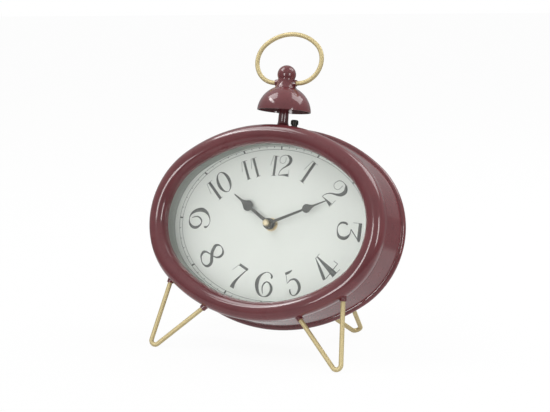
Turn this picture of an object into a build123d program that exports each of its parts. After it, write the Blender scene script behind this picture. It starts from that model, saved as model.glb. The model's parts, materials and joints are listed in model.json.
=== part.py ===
from build123d import *
import os
from math import atan2, cos, degrees, radians, sin, sqrt

# Stance, in millimetres: the origin lies on the floor midway between the four feet, front towards -Y
lean_angle = 21
case_height = 110.5
case_forward = 4.5
foot_reach = 50.8
front_foot_in = 17.8
rear_foot_in = 42.3

# Oval of the bezel's middle line, drawn as four tangent arcs
case_half_width = 105
case_half_height = 78.2
end_round_share = 0.82

# Sheet metal, fits and cuts
sheet = 1.2
fit_gap = 0.1
running_gap = 0.05
overrun = 1

# Front bezel
roll_radius = 8.3
lip_depth = 3
skirt_depth = 4

# Case drum
collar_length = 3.6
drum_offset = 6.8
bead_radius = 1.5
drum_depth = 38
drum_flare = 4
rim_radius = 3.1

# Glass, rehaut and dial
glass_thickness = 2
glass_overlap = 4
rehaut_offset = -6.6
rehaut_wall = 1
dial_depth = 19.3
dial_thickness = 1
dial_margin = 5
seat_inner_offset = -5

# Back plate with its posts and screws
back_depth = 32
aperture_gap = 1
aperture_corner = 5
post_angle = 25
post_radius = 3.5
screw_radius = 1.5
screw_length = 9
screw_head_radius = 3.2
screw_head_height = 2.2
screw_head_round = 1.1

# Wire legs and their sockets
wire_radius = 2
foot_bend = 4
socket_radius = 3
socket_length = 3.2
socket_root = 3
socket_end = 1
socket_depth = 1.5
front_outer_in = 21.5
front_inner_in = 59.5
rear_outer_in = 29
rear_outer_margin = 7.8
rear_inner_in = 50.6
rear_inner_margin = 6.3

# Stem, bell, finial and ring on top
stem_depth = 15
stem_radius = 4.6
stem_top_radius = 3.75
stem_base_radius = 8
stem_flare_height = 7
stem_spigot_radius = 2.2
stem_spigot_length = 6
stem_nut_height = 3.6
stem_nut_flats = 7.2
stem_washer_radius = 4.6
bell_radius = 24
bell_clearance = 15.7
bell_height = 22.7
bell_crown = 4.5
tie_radius = 2.5
tie_length = 7
collar_radius = 10
neck_radius = 7.4
ball_radius = 8.3
ball_rise = 10.5
pivot_rise = 2.9
ear_radius = 3.8
ear_taper = 8
ear_reach = 10.2
ring_pin_in = 7.5
ring_pin_out = 11.2
ring_half_width = 31.6
ring_rise = 45

# Striker stub beside the stem
striker_x = 12.3
striker_depth = 13
striker_radius = 3.4
striker_neck = 2.6
striker_height = 8.6
striker_cap = 4.2
striker_round = 1.4

# Hand stack on the dial, as depths behind the bezel's middle plane
washer_thickness = 0.6
washer_radius = 6
nut_thickness = 2.4
nut_flats = 9.6
bushing_radius = 4
bushing_proud = 0.4
hour_pipe_radius = 2.65
minute_arbor_radius = 1.5
hand_seat_radius = 1.35
thread_radius = 1.15
hour_boss_front = 13.6
hour_boss_length = 1.8
hour_boss_radius = 5
minute_boss_front = 11
minute_boss_length = 2.2
minute_boss_radius = 4.6
hand_thickness = 0.5
hour_hand_length = 45.2
hour_hand_angle = -58.2
hour_spade_at = 22.9
hour_spade_length = 12.9
hour_spade_half = 4.8
minute_hand_length = 57.2
minute_hand_angle = 66
minute_spade_at = 34.5
minute_spade_length = 11.8
minute_spade_half = 3.8
waist_width_share = 0.48
waist_length_share = 0.5
hand_root_half = 1.1
hand_neck_half = 0.8
hand_point_half = 0.8
hand_tip_half = 0.4
cap_radius = 3
cap_round = 1.5
cap_length = 5.2
cap_wall = 1

# Movement housing
gasket_thickness = 1
gasket_half = 18
movement_half = 28
movement_corner = 4
movement_wall = 1.5
movement_depth = 12.5
cover_thickness = 1.5
bay_wall_drop = 10.2

# Wheels: module, teeth and where each arbor stands, as a distance and a direction from the one before
tip_share = 0.9
root_share = 1.2
wheel_root_share = 0.27
wheel_tip_share = 0.08
motion_module = 0.6
cannon_teeth = 8
minute_wheel_teeth = 24
minute_pinion_teeth = 8
hour_wheel_teeth = 32
minute_wheel_direction = 180
setting_teeth = 8
setting_direction = 120
centre_module = 0.36
centre_teeth = 48
third_pinion_teeth = 6
third_direction = 10
third_module = 0.36
third_teeth = 45
fourth_pinion_teeth = 6
fourth_direction = 70
fourth_module = 0.38
fourth_teeth = 30
intermediate_pinion_teeth = 6
intermediate_direction = 130
intermediate_module = 0.32
intermediate_teeth = 36
rotor_pinion_teeth = 6
rotor_direction = 190
wheel_thickness = 0.8
layer_step = 1.4
layer_clearance = 0.4
arbor_radius = 0.6
pivot_radius = 0.4
pivot_length = 0.8
end_shake = 0.1

# Setting knob, motor, board and battery
knob_radius = 5
knob_height = 2.4
knob_gap = 0.5
knob_arbor_radius = 0.9
rotor_radius = 2.4
rotor_length = 3.6
stator_thickness = 1
stator_gap = 0.5
stator_reach_left = 20.7
stator_reach_right = 4.3
stator_half = 3.8
stator_leg = 3
coil_radius = 2.8
coil_rise = 7.2
core_half = 0.9
board_left = 24.5
board_right = 8
board_low = 10.8
board_high = 25
board_thickness = 1
chip_radius = 2.2
chip_height = 0.8
crystal_radius = 1
crystal_length = 6
battery_radius = 7.1
battery_length = 48.6
button_radius = 2.75
button_length = 1.2
battery_gap = 0.2
contact_thickness = 0.4
contact_half = 4.5
tongue_half = 2.25

os.makedirs("parts", exist_ok=True)

# Frame of the leaning face: x to the right, y up along the face, z out of the dial
lean = radians(lean_angle)
face_plane = Plane(
    origin=(0, -case_forward, case_height),
    x_dir=(1, 0, 0),
    z_dir=(0, -cos(lean), sin(lean)),
)
hand_axis = Axis(face_plane.origin, face_plane.z_dir)

# Centres and radii of the four arcs
end_radius = end_round_share * case_half_height
end_centre = case_half_width - end_radius
oval_rise = case_half_height - end_radius
side_centre = (end_centre**2 - oval_rise**2) / (2 * oval_rise)
side_radius = case_half_height + side_centre
join_angle = degrees(atan2(side_centre, end_centre))

# Depths and offsets that several pieces share
bead_front = skirt_depth + fit_gap
flare_start = bead_front + 2 * bead_radius
flare_length = drum_depth - flare_start
stem_lean = lean - atan2(drum_flare, flare_length)
glass_back = lip_depth + glass_thickness
dial_back = dial_depth + dial_thickness
seat_back = dial_back + sheet
back_rear = back_depth + sheet
movement_front = dial_back + gasket_thickness
floor_depth = movement_front + movement_wall
cover_depth = movement_front + movement_depth
cover_rear = cover_depth + cover_thickness


def spot(x, y, depth):
    """Plane parallel to the face, at a place on it and at a depth behind the bezel's middle plane."""
    origin = face_plane.from_local_coords((x, y, -depth))
    return Plane(origin=origin, x_dir=face_plane.x_dir, z_dir=face_plane.z_dir)


def wall_offset(depth):
    """Outside of the flared drum wall at a depth, measured from the oval's middle line."""
    return drum_offset + drum_flare * (depth - flare_start) / flare_length


def oval_height(x, offset):
    """Height of the oval's upper arc at x, when the oval is moved outwards by offset."""
    return sqrt((side_radius + offset) ** 2 - x**2) - side_centre


def standing(x, seat, depth):
    """Plane whose y axis stands square on the flared wall, on top of the drum at the height seat."""
    upward = Vector(0, sin(stem_lean), cos(stem_lean))
    foot = face_plane.from_local_coords((x, seat, -depth))
    outward = (0, -cos(stem_lean), sin(stem_lean))
    return Plane(origin=foot - upward * seat, x_dir=face_plane.x_dir, z_dir=outward)


def oval_wire(offset, depth):
    """The case oval as a closed wire that starts at its right-hand end."""
    with BuildLine(spot(0, 0, depth)) as oval:
        end = end_radius + offset
        side = side_radius + offset
        CenterArc((end_centre, 0), end, 0, join_angle)
        CenterArc((0, -side_centre), side, join_angle, 180 - 2 * join_angle)
        CenterArc((-end_centre, 0), end, 180 - join_angle, 2 * join_angle)
        CenterArc((0, side_centre), side, 180 + join_angle, 180 - 2 * join_angle)
        CenterArc((end_centre, 0), end, -join_angle, join_angle)
    return oval.wire()


def oval_slab(offset, front, rear, mode=Mode.ADD):
    """A plate or a hole of the case's oval between two depths."""
    with BuildSketch(spot(0, 0, rear)) as outline:
        with BuildLine():
            end = end_radius + offset
            side = side_radius + offset
            CenterArc((end_centre, 0), end, -join_angle, 2 * join_angle)
            CenterArc((0, -side_centre), side, join_angle, 180 - 2 * join_angle)
            CenterArc((-end_centre, 0), end, 180 - join_angle, 2 * join_angle)
            CenterArc((0, side_centre), side, 180 + join_angle, 180 - 2 * join_angle)
        make_face()
    extrude(outline.sketch, amount=rear - front, mode=mode)


def disc(x, y, radius, front, rear, mode=Mode.ADD):
    """A round shaft or hole square to the face, between two depths."""
    with BuildSketch(spot(x, y, rear)) as outline:
        Circle(radius)
    extrude(outline.sketch, amount=rear - front, mode=mode)


def block(left, right, low, high, front, rear, mode=Mode.ADD):
    """A rectangular block square to the face, between two depths."""
    with BuildSketch(spot((left + right) / 2, (low + high) / 2, rear)) as outline:
        Rectangle(right - left, high - low)
    extrude(outline.sketch, amount=rear - front, mode=mode)


def rod(start, end, radius, mode=Mode.ADD):
    """A round rod between two points of the shared frame."""
    way = Vector(end) - Vector(start)
    with BuildSketch(Plane(origin=start, z_dir=way)) as outline:
        Circle(radius)
    extrude(outline.sketch, amount=way.length, mode=mode)


def gear(x, y, teeth, module, phase, front):
    """A wheel with straight-flanked clock teeth, one of them standing at the angle phase."""
    pitch_radius = teeth * module / 2
    step = 360 / teeth
    root = pitch_radius - root_share * module
    tip = pitch_radius + tip_share * module
    corners = []
    for tooth in range(teeth):
        middle = phase + tooth * step
        for radius, turn_share in (
            (root, -wheel_root_share),
            (tip, -wheel_tip_share),
            (tip, wheel_tip_share),
            (root, wheel_root_share),
        ):
            angle = radians(middle + turn_share * step)
            corners.append((radius * cos(angle), radius * sin(angle)))
    with BuildSketch(spot(x, y, front + wheel_thickness)) as outline:
        with BuildLine():
            Polyline(*corners, close=True)
        make_face()
    extrude(outline.sketch, amount=wheel_thickness)


def meshed(teeth, phase, direction, partner_teeth):
    """Angle of a tooth on the partner in this direction, so that its teeth stand in the gaps."""
    return direction + 180 - (teeth * (phase - direction) + 180) / partner_teeth


def stepped(start, distance, direction):
    """The place at a distance and a direction from another place on the face."""
    angle = radians(direction)
    return (start[0] + distance * cos(angle), start[1] + distance * sin(angle))


def keep(piece, name):
    """Label a finished piece and write it."""
    piece.part.label = name
    export_step(piece.part, f"parts/{name}.step")


# Section plane at the oval's right-hand end: x outwards from the middle line, y to the back
plate_offset = wall_offset(back_depth) - sheet - fit_gap
section_plane = Plane(
    origin=face_plane.from_local_coords((case_half_width, 0, 0)),
    x_dir=face_plane.x_dir,
    z_dir=face_plane.y_dir,
)
middle_line = oval_wire(0, 0)

# Wire legs: a strand from each socket, tangent to the bend that stands on the floor


def socket_front(x):
    """Mouth of a front socket, on the bezel's outer skirt below the case."""
    return face_plane.from_local_coords((x, -oval_height(x, roll_radius), -socket_depth))


def socket_rear(x, margin):
    """Mouth of a rear socket, on the back plate and inside its edge by a margin."""
    return face_plane.from_local_coords((x, margin - oval_height(x, plate_offset), -back_rear))


def leg_wire(outer, inner, foot):
    """Middle line of a hairpin: two strands and the bend whose lowest point is the foot."""
    normal = (outer - foot).cross(inner - foot).normalized()
    up = Vector(0, 0, 1)
    rise = (up - normal * up.dot(normal)).normalized()
    centre = foot + rise * foot_bend
    touches = []
    for point, side in ((outer, -1), (inner, 1)):
        out = point - centre
        along = out.normalized()
        across = normal.cross(along) * side
        cosine = foot_bend / out.length
        sine = sqrt(1 - cosine**2)
        touches.append(centre + (along * cosine + across * sine) * foot_bend)
    return touches


legs = {}
for side_name, side in (("left", -1), ("right", 1)):
    legs[f"leg_front_{side_name}"] = (
        socket_front(side * (case_half_width - front_outer_in)),
        socket_front(side * (case_half_width - front_inner_in)),
        Vector(side * (case_half_width - front_foot_in), -foot_reach, wire_radius),
    )
    legs[f"leg_rear_{side_name}"] = (
        socket_rear(side * (case_half_width - rear_outer_in), rear_outer_margin),
        socket_rear(side * (case_half_width - rear_inner_in), rear_inner_margin),
        Vector(side * (case_half_width - rear_foot_in), foot_reach, wire_radius),
    )

strand_mouths = []
for leg_name, (outer, inner, foot) in legs.items():
    touches = leg_wire(outer, inner, foot)
    tops = []
    for mouth, touch in zip((outer, inner), touches):
        upward = (mouth - touch).normalized()
        strand_mouths.append((leg_name, mouth, upward))
        tops.append(mouth + upward * (socket_root - socket_end))
    with BuildPart() as leg:
        with BuildLine() as wire:
            Line(tops[0], touches[0])
            ThreePointArc(touches[0], foot, touches[1])
            Line(touches[1], tops[1])
        with BuildSketch(Plane(origin=wire.line @ 0, z_dir=wire.line % 0)):
            Circle(wire_radius)
        sweep(path=wire.wire())
    keep(leg, leg_name)

for row_name in ("front", "rear"):
    with BuildPart() as sockets:
        for leg_name, mouth, upward in strand_mouths:
            if row_name in leg_name:
                rod(mouth - upward * socket_length, mouth + upward * socket_root, socket_radius)
        for leg_name, mouth, upward in strand_mouths:
            if row_name in leg_name:
                rod(
                    mouth - upward * (socket_length + overrun),
                    mouth + upward * (socket_root - socket_end + fit_gap),
                    wire_radius + running_gap,
                    Mode.SUBTRACT,
                )
    keep(sockets, f"leg_sockets_{row_name}")


def socket_holes(row_name):
    """Clear the sockets' way through a wall of the case."""
    for leg_name, mouth, upward in strand_mouths:
        if row_name in leg_name:
            rod(
                mouth - upward * socket_length,
                mouth + upward * (socket_root + overrun),
                socket_radius + running_gap,
                Mode.SUBTRACT,
            )


# Front bezel: a rolled channel whose inner lip holds the glass and whose skirt covers the drum's collar
with BuildPart() as front_bezel:
    with BuildSketch(section_plane):
        with BuildLine():
            inside = roll_radius - sheet
            Polyline((roll_radius, 0), (roll_radius, skirt_depth), (inside, skirt_depth), (inside, 0))
            ThreePointArc((inside, 0), (0, -inside), (-inside, 0))
            Polyline((-inside, 0), (-inside, lip_depth), (-roll_radius, lip_depth), (-roll_radius, 0))
            ThreePointArc((-roll_radius, 0), (0, -roll_radius), (roll_radius, 0))
        make_face()
    sweep(path=middle_line)
    socket_holes("front")
keep(front_bezel, "front_bezel")

# Case drum: collar, bead, flared wall and rolled rear rim
collar_offset = roll_radius - sheet - fit_gap
collar_front = bead_front - collar_length
stem_seat = oval_height(0, wall_offset(stem_depth))
striker_seat = oval_height(striker_x, wall_offset(striker_depth))
top_plane = standing(0, stem_seat, stem_depth)
striker_plane = standing(striker_x, striker_seat, striker_depth)
with BuildPart() as case_drum:
    with BuildSketch(section_plane):
        with BuildLine():
            inner_offset = drum_offset - sheet
            bead_crest = (drum_offset + bead_radius, bead_front + bead_radius)
            Polyline((inner_offset, flare_start), (inner_offset, collar_front), (collar_offset, collar_front),
                     (collar_offset, bead_front), (drum_offset, bead_front))
            ThreePointArc((drum_offset, bead_front), bead_crest, (drum_offset, flare_start))
            Polyline((drum_offset, flare_start), (drum_offset + drum_flare, drum_depth),
                     (inner_offset + drum_flare, drum_depth), (inner_offset, flare_start))
        make_face()
        with Locations((drum_offset + drum_flare - sheet / 2, drum_depth)):
            Circle(rim_radius)
    sweep(path=middle_line)
    socket_holes("front")
    for hole_plane, hole_radius in ((top_plane, stem_spigot_radius), (striker_plane, striker_neck)):
        foot_low = hole_plane.from_local_coords((0, case_half_height, 0))
        foot_high = hole_plane.from_local_coords((0, stem_seat + overrun, 0))
        rod(foot_low, foot_high, hole_radius + running_gap, Mode.SUBTRACT)
keep(case_drum, "case_drum")

# Glass, rehaut, dial and the ring that the dial rests on
glass_offset = glass_overlap - roll_radius + sheet
with BuildPart() as dial_glass:
    oval_slab(glass_offset, lip_depth, glass_back)
keep(dial_glass, "dial_glass")

with BuildPart() as rehaut_ring:
    oval_slab(rehaut_offset + rehaut_wall, glass_back, dial_depth)
    oval_slab(rehaut_offset, glass_back, dial_depth, Mode.SUBTRACT)
keep(rehaut_ring, "rehaut_ring")

with BuildPart() as dial_plate:
    oval_slab(rehaut_offset + rehaut_wall + dial_margin, dial_depth, dial_back)
    disc(0, 0, bushing_radius + fit_gap, dial_depth, dial_back, Mode.SUBTRACT)
keep(dial_plate, "dial_plate")

post_places = []
for post_x, post_y in ((1, 1), (-1, 1), (-1, -1), (1, -1)):
    reach = end_centre + end_radius * cos(radians(post_angle))
    post_places.append((post_x * reach, post_y * end_radius * sin(radians(post_angle))))

with BuildPart() as dial_seat_ring:
    oval_slab(wall_offset(dial_back) - sheet - fit_gap, dial_back, seat_back)
    oval_slab(seat_inner_offset, dial_back, seat_back, Mode.SUBTRACT)
keep(dial_seat_ring, "dial_seat_ring")

with BuildPart() as back_posts:
    for x, y in post_places:
        disc(x, y, post_radius, seat_back, back_depth)
    for x, y in post_places:
        disc(x, y, screw_radius + running_gap, back_depth - screw_length, back_depth, Mode.SUBTRACT)
keep(back_posts, "back_posts")

# Back plate: the movement shows through its aperture, and the rear legs' sockets pass through it
aperture_side = 2 * (movement_half + aperture_gap)
with BuildPart() as back_plate:
    oval_slab(plate_offset, back_depth, back_rear)
    with BuildSketch(spot(0, 0, back_rear)):
        RectangleRounded(aperture_side, aperture_side, aperture_corner)
    extrude(amount=sheet, mode=Mode.SUBTRACT)
    for x, y in post_places:
        disc(x, y, screw_radius + running_gap, back_depth, back_rear, Mode.SUBTRACT)
    socket_holes("rear")
keep(back_plate, "back_plate")

with BuildPart() as back_screws:
    for x, y in post_places:
        disc(x, y, screw_radius, back_rear - screw_length, back_rear)
        disc(x, y, screw_head_radius, back_rear, back_rear + screw_head_height)
    head_circles = back_screws.edges().filter_by(GeomType.CIRCLE)
    head_rims = head_circles.group_by(Axis(face_plane.origin, -face_plane.z_dir))[-1]
    fillet(head_rims, screw_head_round)
keep(back_screws, "back_screws")

# Sizes of the dome, a part of a sphere with a flat crown for its seat
bell_rim = stem_seat + bell_clearance
bell_top = bell_rim + bell_height
dome_radius = (bell_radius**2 + bell_height**2) / (2 * bell_height)
dome_centre = bell_top - dome_radius
crown_top = dome_centre + sqrt(dome_radius**2 - bell_crown**2)
crown_under = crown_top - sheet
ball_centre = crown_top + ball_rise
pivot_height = crown_top + pivot_rise
tie_hole = tie_radius + running_gap


def dome_point(radius, x):
    """Point of a circle round the dome's centre, at a distance x from the bell's axis."""
    return (x, dome_centre + sqrt(radius**2 - x**2))


# Stem: flared foot on the drum, shoulder under the bell and a tie for the finial
top_axis = Axis(top_plane.origin, top_plane.y_dir)
wall_inside = oval_height(stem_washer_radius, wall_offset(stem_depth) - sheet)
wall_outside = oval_height(stem_base_radius, wall_offset(stem_depth) - sheet / 2)
spigot_low = wall_inside - stem_spigot_length
with BuildPart() as bell_stem:
    with BuildSketch(top_plane):
        with BuildLine():
            Polyline((0, spigot_low), (stem_spigot_radius, spigot_low), (stem_spigot_radius, wall_outside),
                     (stem_base_radius, wall_outside), (stem_base_radius, stem_seat))
            TangentArc((stem_radius, stem_seat + stem_flare_height), (stem_base_radius, stem_seat),
                       tangent=(0, -1))
            Polyline((stem_radius, stem_seat + stem_flare_height), (stem_top_radius, crown_under),
                     (tie_radius, crown_under), (tie_radius, crown_top + tie_length),
                     (0, crown_top + tie_length),
                     (0, spigot_low))
        make_face()
    revolve(axis=top_axis)
    add(case_drum.part, mode=Mode.SUBTRACT)
keep(bell_stem, "bell_stem")

nut_plane = Plane(
    origin=top_plane.from_local_coords((0, wall_inside - fit_gap - washer_thickness, 0)),
    x_dir=top_plane.x_dir,
    z_dir=-top_plane.y_dir,
)
with BuildPart() as stem_washer:
    with BuildSketch(nut_plane):
        Circle(stem_washer_radius)
        Circle(stem_spigot_radius + running_gap, mode=Mode.SUBTRACT)
    extrude(amount=-washer_thickness)
keep(stem_washer, "stem_washer")

with BuildPart() as stem_nut:
    with BuildSketch(nut_plane):
        RegularPolygon(stem_nut_flats / 2, 6, major_radius=False)
        Circle(stem_spigot_radius + running_gap, mode=Mode.SUBTRACT)
    extrude(amount=stem_nut_height)
keep(stem_nut, "stem_nut")

# Bell: a thin dome
with BuildPart() as bell_dome:
    with BuildSketch(top_plane):
        with BuildLine():
            inner_dome = dome_radius - sheet
            inner_rim = sqrt(inner_dome**2 - (bell_rim - dome_centre) ** 2)
            inner_crown = sqrt(inner_dome**2 - (crown_under - dome_centre) ** 2)
            Polyline((inner_crown, crown_under), (tie_hole, crown_under), (tie_hole, crown_top),
                     (bell_crown, crown_top))
            ThreePointArc((bell_crown, crown_top), dome_point(dome_radius, bell_radius / 2),
                          (bell_radius, bell_rim))
            Line((bell_radius, bell_rim), (inner_rim, bell_rim))
            ThreePointArc((inner_rim, bell_rim), dome_point(inner_dome, bell_radius / 2),
                          (inner_crown, crown_under))
        make_face()
    revolve(axis=top_axis)
keep(bell_dome, "bell_dome")

# Finial: collar, ball and the two ears that the ring turns in
neck_top = ball_centre - sqrt(ball_radius**2 - neck_radius**2)
collar_dome = dome_radius + fit_gap
collar_foot = dome_point(collar_dome, collar_radius)
collar_seat = dome_point(collar_dome, bell_crown)
with BuildPart() as finial:
    with BuildSketch(top_plane):
        with BuildLine():
            hole_top = crown_top + tie_length + fit_gap
            Polyline((0, hole_top), (tie_hole, hole_top), (tie_hole, crown_top), (bell_crown, crown_top),
                     collar_seat)
            ThreePointArc(collar_seat, dome_point(collar_dome, (bell_crown + collar_radius) / 2), collar_foot)
            TangentArc((neck_radius, neck_top), collar_foot, tangent=(0, -1))
            ThreePointArc((neck_radius, neck_top), (ball_radius, ball_centre), (0, ball_centre + ball_radius))
            Line((0, ball_centre + ball_radius), (0, hole_top))
        make_face()
    revolve(axis=top_axis)
    for side in (-1, 1):
        ear_root = top_plane.from_local_coords((side * neck_radius / 2, pivot_height, 0))
        with BuildSketch(Plane(origin=ear_root, z_dir=top_plane.x_dir * side)) as ear:
            Circle(ear_radius)
        extrude(ear.sketch, amount=ear_reach - neck_radius / 2, taper=ear_taper)
    add(bell_dome.part, mode=Mode.SUBTRACT)
    for side in (-1, 1):
        pin_root = top_plane.from_local_coords((side * (ring_pin_in - fit_gap), pivot_height, 0))
        pin_end = top_plane.from_local_coords((side * (ear_reach + overrun), pivot_height, 0))
        rod(pin_root, pin_end, wire_radius + running_gap, Mode.SUBTRACT)
keep(finial, "finial")

# Ring: an oval of wire whose two ends turn in the ears
ring_side = ring_half_width - ring_pin_out
ring_gain = ring_rise - ring_side
ring_crown = (ring_pin_out**2 + ring_gain**2 - ring_side**2) / (2 * (ring_gain - ring_side))
ring_join = degrees(atan2(ring_side - ring_rise + ring_crown, ring_pin_out))
ring_plane = Plane(
    origin=top_plane.from_local_coords((0, pivot_height, 0)), x_dir=face_plane.x_dir, z_dir=face_plane.z_dir
)
with BuildPart() as ring_handle:
    with BuildLine(ring_plane) as ring_wire:
        Line((ring_pin_in, 0), (ring_pin_out, 0))
        CenterArc((ring_pin_out, ring_side), ring_side, -90, 90 + ring_join)
        CenterArc((0, ring_rise - ring_crown), ring_crown, ring_join, 180 - 2 * ring_join)
        CenterArc((-ring_pin_out, ring_side), ring_side, 180 - ring_join, 90 + ring_join)
        Line((-ring_pin_out, 0), (-ring_pin_in, 0))
    with BuildSketch(Plane(origin=ring_wire.wire() @ 0, z_dir=ring_wire.wire() % 0)):
        Circle(wire_radius)
    sweep(path=ring_wire.wire())
keep(ring_handle, "ring_handle")

# Striker stub: a short neck through the drum with a round head
with BuildPart() as striker_stub:
    with BuildSketch(striker_plane):
        with BuildLine():
            stub_low = striker_seat - 2 * sheet
            striker_top = striker_seat + striker_height
            cap_low = striker_top - striker_cap
            Polyline((0, stub_low), (striker_neck, stub_low), (striker_neck, cap_low),
                     (striker_radius, cap_low), (striker_radius, striker_top), (0, striker_top),
                     (0, stub_low))
        make_face()
    revolve(axis=Axis(striker_plane.origin, striker_plane.y_dir))
    stub_circles = striker_stub.edges().filter_by(GeomType.CIRCLE)
    cap_rim = stub_circles.sort_by(Axis(face_plane.origin, face_plane.y_dir))[-1]
    fillet(cap_rim, striker_round)
keep(striker_stub, "striker_stub")

# Places of the arbors on the face and the angles of their teeth
motion_distance = (cannon_teeth + minute_wheel_teeth) * motion_module / 2
hour_module = 2 * motion_distance / (minute_pinion_teeth + hour_wheel_teeth)
centre_place = (0, 0)
minute_wheel_place = stepped(centre_place, motion_distance, minute_wheel_direction)
setting_distance = (minute_wheel_teeth + setting_teeth) * motion_module / 2
setting_place = stepped(minute_wheel_place, setting_distance, setting_direction)
third_distance = (centre_teeth + third_pinion_teeth) * centre_module / 2
third_place = stepped(centre_place, third_distance, third_direction)
fourth_distance = (third_teeth + fourth_pinion_teeth) * third_module / 2
fourth_place = stepped(third_place, fourth_distance, fourth_direction)
intermediate_distance = (fourth_teeth + intermediate_pinion_teeth) * fourth_module / 2
intermediate_place = stepped(fourth_place, intermediate_distance, intermediate_direction)
rotor_distance = (intermediate_teeth + rotor_pinion_teeth) * intermediate_module / 2
rotor_place = stepped(intermediate_place, rotor_distance, rotor_direction)

hour_layer = floor_depth + layer_clearance
minute_layer = hour_layer + layer_step
centre_layer = minute_layer + layer_step
third_layer = centre_layer + layer_step
fourth_layer = third_layer + layer_step
intermediate_layer = fourth_layer + layer_step

cannon_phase = minute_wheel_direction
minute_wheel_phase = meshed(cannon_teeth, cannon_phase, minute_wheel_direction, minute_wheel_teeth)
setting_phase = meshed(minute_wheel_teeth, minute_wheel_phase, setting_direction, setting_teeth)
hour_phase = minute_wheel_direction
minute_pinion_phase = meshed(hour_wheel_teeth, hour_phase, minute_wheel_direction, minute_pinion_teeth)
third_pinion_phase = meshed(centre_teeth, third_direction, third_direction, third_pinion_teeth)
fourth_pinion_phase = meshed(third_teeth, fourth_direction, fourth_direction, fourth_pinion_teeth)
intermediate_pinion_phase = meshed(
    fourth_teeth, intermediate_direction, intermediate_direction, intermediate_pinion_teeth
)
rotor_pinion_phase = meshed(intermediate_teeth, rotor_direction, rotor_direction, rotor_pinion_teeth)

train_places = (minute_wheel_place, third_place, fourth_place, intermediate_place, rotor_place)


def arbor(place):
    """A train arbor that runs in a pivot hole at each end."""
    front = floor_depth + end_shake
    rear = cover_depth - end_shake
    disc(*place, arbor_radius, front, rear)
    disc(*place, pivot_radius, front - pivot_length, front)
    disc(*place, pivot_radius, rear, rear + pivot_length)


def pivot_holes(places, front, rear):
    """Blind holes for the arbors' pivots."""
    for place in places:
        disc(*place, pivot_radius + running_gap, front, rear, Mode.SUBTRACT)


# Movement housing: a tray with the battery bay below and a cover over the train
inner_half = movement_half - movement_wall
bay_top = -bay_wall_drop - movement_wall
with BuildPart() as movement_tray:
    with BuildSketch(spot(0, 0, cover_depth)):
        RectangleRounded(2 * movement_half, 2 * movement_half, movement_corner)
    extrude(amount=movement_depth)
    block(-inner_half, inner_half, -bay_wall_drop, inner_half, floor_depth, cover_depth, Mode.SUBTRACT)
    block(-inner_half, inner_half, -inner_half, bay_top, floor_depth, cover_depth, Mode.SUBTRACT)
    disc(0, 0, bushing_radius + running_gap, movement_front, floor_depth, Mode.SUBTRACT)
    pivot_holes(train_places, floor_depth - pivot_length, floor_depth)
    pivot_holes((setting_place,), floor_depth - pivot_length, floor_depth)
keep(movement_tray, "movement_tray")

with BuildPart() as movement_cover:
    block(-movement_half, movement_half, bay_top, movement_half, cover_depth, cover_rear)
    cover_corners = movement_cover.edges().filter_by(Axis(face_plane.origin, face_plane.z_dir))
    fillet(cover_corners.group_by(Axis(face_plane.origin, face_plane.y_dir))[-1], movement_corner)
    pivot_holes(train_places, cover_depth, cover_depth + pivot_length)
    pivot_holes((centre_place,), cover_depth, cover_depth + pivot_length)
    disc(*setting_place, knob_arbor_radius + running_gap, cover_depth, cover_rear, Mode.SUBTRACT)
keep(movement_cover, "movement_cover")

# Bushing, gasket, washer and nut that clamp the movement to the dial
nut_front = dial_depth - washer_thickness - nut_thickness
bushing_front = nut_front - bushing_proud
pipe_bore = hour_pipe_radius + running_gap
with BuildPart() as bushing:
    disc(0, 0, bushing_radius, bushing_front, floor_depth)
    disc(0, 0, pipe_bore, bushing_front, floor_depth, Mode.SUBTRACT)
keep(bushing, "bushing")

with BuildPart() as gasket:
    block(-gasket_half, gasket_half, -gasket_half, gasket_half, dial_back, movement_front)
    disc(0, 0, bushing_radius + fit_gap, dial_back, movement_front, Mode.SUBTRACT)
keep(gasket, "gasket")

with BuildPart() as bushing_washer:
    disc(0, 0, washer_radius, dial_depth - washer_thickness, dial_depth)
    disc(0, 0, bushing_radius + fit_gap, dial_depth - washer_thickness, dial_depth, Mode.SUBTRACT)
keep(bushing_washer, "bushing_washer")

with BuildPart() as bushing_nut:
    with BuildSketch(spot(0, 0, nut_front + nut_thickness)):
        RegularPolygon(nut_flats / 2, 6, major_radius=False)
        Circle(bushing_radius + running_gap, mode=Mode.SUBTRACT)
    extrude(amount=nut_thickness)
keep(bushing_nut, "bushing_nut")

# Motion work behind the dial: hour wheel with its pipe, minute arbor with its pinion, minute wheel
arbor_bore = minute_arbor_radius + running_gap
with BuildPart() as hour_wheel:
    gear(*centre_place, hour_wheel_teeth, hour_module, hour_phase, hour_layer)
    disc(*centre_place, hour_pipe_radius, hour_boss_front, hour_layer + wheel_thickness)
    disc(*centre_place, arbor_bore, hour_boss_front, hour_layer + wheel_thickness, Mode.SUBTRACT)
keep(hour_wheel, "hour_wheel")

minute_boss_back = minute_boss_front + minute_boss_length
arbor_rear = centre_layer + wheel_thickness
cap_front = minute_boss_front - cap_length
with BuildPart() as minute_arbor:
    gear(*centre_place, cannon_teeth, motion_module, cannon_phase, minute_layer)
    disc(*centre_place, minute_arbor_radius, minute_boss_back, arbor_rear)
    disc(*centre_place, hand_seat_radius, minute_boss_front, minute_boss_back)
    disc(*centre_place, thread_radius, cap_front + cap_wall + fit_gap, minute_boss_front)
    disc(*centre_place, arbor_radius, arbor_rear, cover_depth - end_shake)
    disc(*centre_place, pivot_radius, cover_depth - end_shake, cover_depth - end_shake + pivot_length)
keep(minute_arbor, "minute_arbor")

with BuildPart() as minute_wheel:
    gear(*minute_wheel_place, minute_wheel_teeth, motion_module, minute_wheel_phase, minute_layer)
    gear(*minute_wheel_place, minute_pinion_teeth, hour_module, minute_pinion_phase, hour_layer)
    arbor(minute_wheel_place)
keep(minute_wheel, "minute_wheel")

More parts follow.
